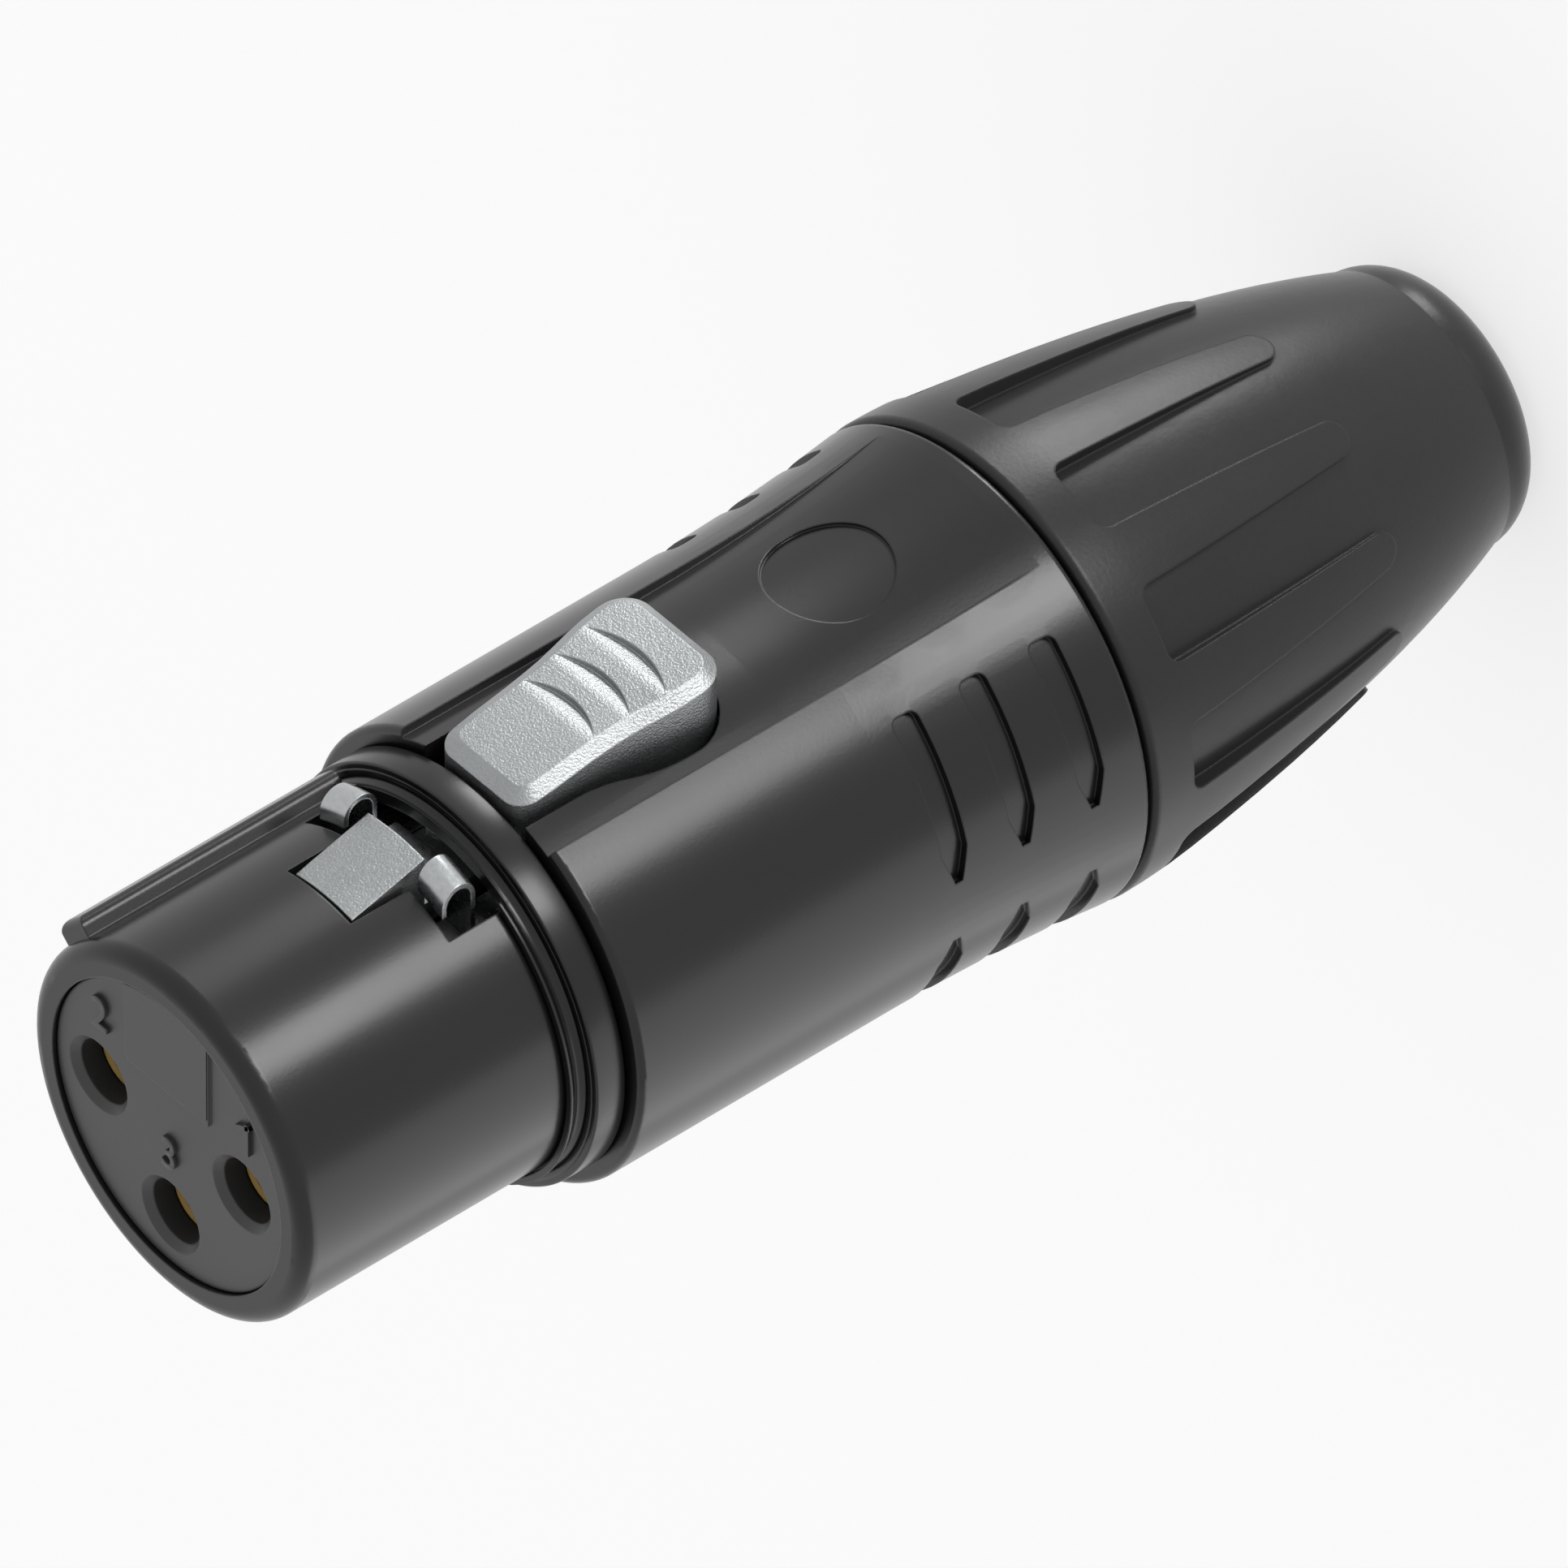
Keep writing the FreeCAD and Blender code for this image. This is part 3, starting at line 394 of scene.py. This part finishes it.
def makeLever():
    piece = makeCap()
    for arcMiddle, half in lever["grips"]:
        combine(piece, gripCutter(arcMiddle, half), "DIFFERENCE")
    half, low = lever["armHalf"], lever["armLow"]
    rib = block("leverRib", (-half, low + lever["ribInset"], lever["ribFront"]),
                (half, lever["ribHigh"], lever["armBack"]))
    combine(piece, rib, "UNION")
    arm = block("leverArm", (-half, low, lever["armFront"]), (half, lever["armHigh"], lever["armBack"]))
    combine(arm, makeTooth(), "UNION")
    combine(piece, arm, "UNION")
    tail = block("leverTail", (-lever["tailHalf"], low, lever["tailFront"]),
                 (lever["tailHalf"], lever["pinHeight"] + lever["eye"], lever["pin"]))
    combine(tail, crossRod("leverEye", lever["eye"], lever["tailHalf"]), "UNION")
    combine(piece, tail, "UNION")
    hole = crossRod("eyeHole", lever["eyeHole"], lever["tailHalf"] + lever["holeBeyond"])
    combine(piece, hole, "DIFFERENCE")
    pegLow, pegHigh = lever["pegLow"], low + lever["pegInArm"]
    peg = cylinder("leverPeg", lever["peg"], pegHigh - pegLow,
                   placeOf(0, 0.5 * (pegHigh + pegLow), lever["pegSetback"]), shared["pegSides"],
                   turn=(math.pi / 2, 0, 0))
    combine(piece, peg, "UNION")
    named(piece, "latchLever")
    dress(piece, "lever", lever["smoothAngle"])
    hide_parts("latch_lever")
    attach(piece, "latch")


makeLever()
print("latch lever modelled")


# coding ring: a little longer than the CAD ring towards the body, where the photo's gap is narrower
codingRing = {"radius": 8.85, "bore": 8.11, "front": 13.42, "back": 14.65, "longer": 0.15, "stepBore": 8.33,
              "overlap": 0.01, "beyond": 1.0, "rounding": 0.14, "roundingSteps": 4, "sharpAngle": 60,
              "smoothAngle": 35}


def roundTube(name, radius, front, back):
    return cylinder(name, radius, back - front, placeOf(0, 0, 0.5 * (front + back)), shared["roundSides"])


def makeCodingRing():
    front, back, beyond = codingRing["front"], codingRing["back"], codingRing["beyond"]
    ring = roundTube("codingRing", codingRing["radius"], front, back + codingRing["longer"])
    combine(ring, roundTube("ringBore", codingRing["bore"], front - beyond, back), "DIFFERENCE")
    step = roundTube("ringStep", codingRing["stepBore"], back - codingRing["overlap"], back + beyond)
    combine(ring, step, "DIFFERENCE")
    roundEdges(ring, codingRing["rounding"], codingRing["roundingSteps"], codingRing["sharpAngle"])
    dress(ring, "ring", codingRing["smoothAngle"])
    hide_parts("coding_ring")
    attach(ring, "connector")


makeCodingRing()
print("coding ring modelled")


# gland nut: the CAD nut with a right-hand thread cut into its tube
nutThread = {"pitch": 1.25, "turns": 5.5, "start": 24.75, "root": 8.12, "outside": 8.75,
             "rootHalf": 0.12, "outsideHalf": 0.52, "steps": 72, "endSides": 8, "merge": 0.001,
             "smoothAngle": 30}


def makeThreadCutter():
    # a closed trapezoid swept along the helix
    middle = 0.5 * (nutThread["root"] + nutThread["outside"])
    bpy.ops.mesh.primitive_plane_add(size=1, location=(middle * mm, 0, nutThread["start"] * mm),
                                     rotation=(math.pi / 2, 0, 0))
    cutter = named(bpy.context.object, "threadCutter")
    cutter.scale = ((nutThread["outside"] - nutThread["root"]) * mm, 2 * nutThread["outsideHalf"] * mm, 1)
    settle(cutter)
    bpy.ops.object.mode_set(mode="EDIT")
    selectVertices(cutter, lambda spot: spot.x < middle * mm)
    bpy.ops.transform.resize(value=(1, 1, nutThread["rootHalf"] / nutThread["outsideHalf"]))
    bpy.ops.mesh.select_all(action="SELECT")
    bpy.ops.mesh.delete(type="ONLY_FACE")
    bpy.ops.object.mode_set(mode="OBJECT")
    sweep = cutter.modifiers.new("sweep", "SCREW")
    sweep.axis = "Z"
    sweep.angle = 2 * math.pi * nutThread["turns"]
    sweep.screw_offset = nutThread["pitch"] * nutThread["turns"] * mm
    sweep.steps = int(nutThread["steps"] * nutThread["turns"])
    sweep.render_steps = sweep.steps
    bpy.ops.object.modifier_apply(modifier=sweep.name)
    editAll(cutter)
    bpy.ops.mesh.fill_holes(sides=nutThread["endSides"])
    closeMesh()
    return cutter


def makeGlandNut():
    nut = bpy.data.objects.new("glandNut", nodes["gland_nut"].data.copy())
    bpy.context.scene.collection.objects.link(nut)
    named(nut, "glandNut")
    editAll(nut)
    bpy.ops.mesh.remove_doubles(threshold=nutThread["merge"] * mm)
    bpy.ops.object.mode_set(mode="OBJECT")
    combine(nut, makeThreadCutter(), "DIFFERENCE")
    dress(nut, "nut", nutThread["smoothAngle"])
    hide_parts("gland_nut")
    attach(nut, "boot")


makeGlandNut()
print("gland nut threaded")


# raised numbers and the raised panel on the contact face
numbers = {
    "height": 1.55, "widen": 0.88, "raised": 0.17, "sink": 0.05, "rounding": 0.02, "roundingSteps": 2,
    "faceBelowNose": 0.2, "fatten": 0.012, "mergeLetters": 0.0001,
    "places": (("2", "numberTwo", 3.9, 3.45), ("3", "numberThree", -0.06, -0.87)),
    "oneStem": -4.62, "oneUp": 3.2, "oneWide": 0.2, "flagLong": 0.85, "flagDrop": 27.0,
}
facePanel = {"left": 2.4, "right": -2.28, "low": 2.5, "rim": 6.52, "raised": 0.15, "sink": 0.04}


def dressMark(piece):
    dress(piece, "carrierMark")
    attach(piece, "connector")


def makeNumber(text, name, across, up):
    bpy.ops.object.select_all(action="DESELECT")
    bpy.ops.object.text_add()
    letter = bpy.context.object.data
    letter.body = text
    letter.align_x = "CENTER"
    letter.align_y = "CENTER"
    letter.size = 1.0
    letter.offset = numbers["fatten"]
    bpy.ops.object.convert(target="MESH")
    piece = named(bpy.context.object, name)
    low = Vector([min(v.co[i] for v in piece.data.vertices) for i in range(3)])
    high = Vector([max(v.co[i] for v in piece.data.vertices) for i in range(3)])
    size = numbers["height"] * mm / (high.y - low.y)
    editAll(piece)
    bpy.ops.mesh.remove_doubles(threshold=numbers["mergeLetters"])
    thick = (numbers["raised"] + numbers["sink"]) * mm / size
    bpy.ops.mesh.extrude_region_move(TRANSFORM_OT_translate={"value": (0, 0, thick)})
    closeMesh()
    centre = (low + high) / 2
    base = placeOf(across, up, numbers["faceBelowNose"] + numbers["sink"])
    turnHalf = Matrix.Rotation(math.pi, 4, "Z")
    grow = Matrix.Diagonal((size * numbers["widen"], size, size, 1.0))
    toCentre = Matrix.Translation((-centre.x, -centre.y, 0.0))
    piece.data.transform(Matrix.Translation(base) @ turnHalf @ grow @ toCentre)
    roundEdges(piece, numbers["rounding"], numbers["roundingSteps"])
    dressMark(piece)


def makeOne():
    # the number 1 has a long slanting flag
    wide, half = numbers["oneWide"], numbers["height"] / 2
    stem, up = numbers["oneStem"], numbers["oneUp"]
    edge = stem - wide / 2
    depth = numbers["faceBelowNose"]
    near, far = depth - numbers["raised"], depth + numbers["sink"]
    piece = block("numberOne", (edge, up - half, near), (stem + wide / 2, up + half, far))
    flag = block("numberFlag", (edge, up + half - wide, near), (edge + numbers["flagLong"], up + half, far))
    editAll(flag)
    bpy.ops.transform.rotate(value=-math.radians(numbers["flagDrop"]), orient_axis="Z",
                             center_override=placeOf(edge, up + half, depth))
    bpy.ops.mesh.bisect(plane_co=placeOf(edge, 0, 0), plane_no=(1, 0, 0), use_fill=True, clear_inner=True)
    bpy.ops.object.mode_set(mode="OBJECT")
    combine(piece, flag, "UNION")
    dressMark(piece)


makeOne()
for text, name, across, up in numbers["places"]:
    makeNumber(text, name, across, up)


def makeFacePanel():
    # the panel above the number 3 runs up to the rim of the carrier
    thick = facePanel["raised"] + facePanel["sink"]
    top = numbers["faceBelowNose"] - facePanel["raised"]
    panel = cylinder("facePanel", facePanel["rim"], thick, placeOf(0, 0, top + 0.5 * thick),
                     shared["roundSides"])
    bpy.ops.object.mode_set(mode="EDIT")
    for point, normal in ((placeOf(0, facePanel["low"], 0), (0, 1, 0)),
                          (placeOf(facePanel["left"], 0, 0), (1, 0, 0)),
                          (placeOf(facePanel["right"], 0, 0), (-1, 0, 0))):
        bpy.ops.mesh.select_all(action="SELECT")
        bpy.ops.mesh.bisect(plane_co=point, plane_no=normal, use_fill=True, clear_outer=True)
    closeMesh()
    dressMark(panel)


makeFacePanel()
print("contact face marked")


# the floor is seen by the camera alone
floorLook = {"size": 3.0, "sides": 96, "color": (0.9, 0.9, 0.9), "glow": 0.64,
             "roughness": 0.9, "specular": 0.1}
bpy.ops.mesh.primitive_circle_add(vertices=floorLook["sides"], radius=floorLook["size"], fill_type="NGON",
                                  location=(0, 0, cadBox[0][2]))
floor = bpy.context.object
floor.name = "floor"
floorPaint = bpy.data.materials.new("palePaper")
floorPaint.use_nodes = True
paper = floorPaint.node_tree.nodes["Principled BSDF"]
paper.inputs["Base Color"].default_value = (*floorLook["color"], 1.0)
paper.inputs["Roughness"].default_value = floorLook["roughness"]
paper.inputs["Specular IOR Level"].default_value = floorLook["specular"]
paper.inputs["Emission Color"].default_value = (1.0, 1.0, 1.0, 1.0)
paper.inputs["Emission Strength"].default_value = floorLook["glow"]
floor.data.materials.append(floorPaint)
floor.visible_glossy = False
floor.visible_diffuse = False
floor.visible_shadow = False
floor.select_set(False)


# soft boxes: bearing from the latch side towards contact 1, elevation, their angles across, brightness
studio = {
    "fill": 0.35, "distance": 0.6,
    "boxes": {
        "keyBox": (28.5, -16.5, 20.0, 24.0, 13.5),
        "sideBox": (-33.0, -38.5, 22.0, 16.0, 14.0),
        "wideBox": (132.0, -19.0, 62.0, 34.0, 1.2),
    },
}


def makeSoftBox(name, bearing, elevation, wide, tall, strength):
    lamp = bpy.data.lights.new(name, "AREA")
    lamp.shape = "RECTANGLE"
    distance = studio["distance"]
    lamp.size = 2 * distance * math.tan(math.radians(wide / 2))
    lamp.size_y = 2 * distance * math.tan(math.radians(tall / 2))
    lamp.energy = strength * math.pi * lamp.size * lamp.size_y
    box = bpy.data.objects.new(name, lamp)
    bpy.context.scene.collection.objects.link(box)
    turned, raised = math.radians(bearing), math.radians(elevation)
    flat = math.cos(raised)
    aim = Vector((-math.sin(turned) * flat, -math.cos(turned) * flat, math.sin(raised)))
    middle = Vector((0, 0, 0.5 * noseHeight * mm))
    facing = aim.to_track_quat("Z", "Y").to_matrix().to_4x4()
    box.matrix_world = Matrix.Translation(middle + aim * distance) @ facing
    box.visible_camera = False


for name, values in studio["boxes"].items():
    makeSoftBox(name, *values)


def makeWorld():
    # white to the camera and in reflections, and a weaker fill on what scatters light
    world = bpy.data.worlds.new("softStudio")
    bpy.context.scene.world = world
    world.use_nodes = True
    tree, link = world.node_tree.nodes, world.node_tree.links.new
    back = tree["Background"]
    back.inputs["Color"].default_value = (1.0, 1.0, 1.0, 1.0)
    path = tree.new("ShaderNodeLightPath")
    shown = mathStep(tree, "MAXIMUM")
    link(path.outputs["Is Camera Ray"], shown.inputs[0])
    link(path.outputs["Is Glossy Ray"], shown.inputs[1])
    white = mathStep(tree, "MAXIMUM")
    link(shown.outputs[0], white.inputs[0])
    link(path.outputs["Is Transmission Ray"], white.inputs[1])
    level = tree.new("ShaderNodeMapRange")
    level.inputs["To Min"].default_value = studio["fill"]
    level.inputs["To Max"].default_value = 1.0
    link(white.outputs[0], level.inputs["Value"])
    link(level.outputs["Result"], back.inputs["Strength"])


makeWorld()
print("floor and studio light made")


# the photo's parallel view: width is the width of the frame in mm
shot = {"azimuth": -38.5, "elevation": 28.03, "roll": -120.28, "lens": 1000.0, "sensor": 36.0, "width": 58.545,
        "centre": (-0.1945, 0.1547, 33.156), "clipStart": 0.05, "clipEnd": 10.0}
camera = bpy.data.objects.new("camera", bpy.data.cameras.new("camera"))
bpy.context.scene.collection.objects.link(camera)
bpy.context.scene.camera = camera
camera.data.lens = shot["lens"]
camera.data.sensor_width = shot["sensor"]
camera.data.sensor_fit = "HORIZONTAL"
turned = (Matrix.Rotation(math.radians(shot["azimuth"]), 4, "Z")
          @ Matrix.Rotation(math.radians(90 - shot["elevation"]), 4, "X")
          @ Matrix.Rotation(math.radians(shot["roll"]), 4, "Z"))
distance = shot["lens"] * shot["width"] * mm / camera.data.sensor_width
middle = Vector(shot["centre"]) * mm
camera.matrix_world = Matrix.Translation(middle + turned.to_3x3() @ Vector((0, 0, distance))) @ turned
camera.data.clip_start = shot["clipStart"]
camera.data.clip_end = shot["clipEnd"]

bpy.context.scene.view_settings.view_transform = "Standard"
print("camera set at", round(distance, 3), "m")
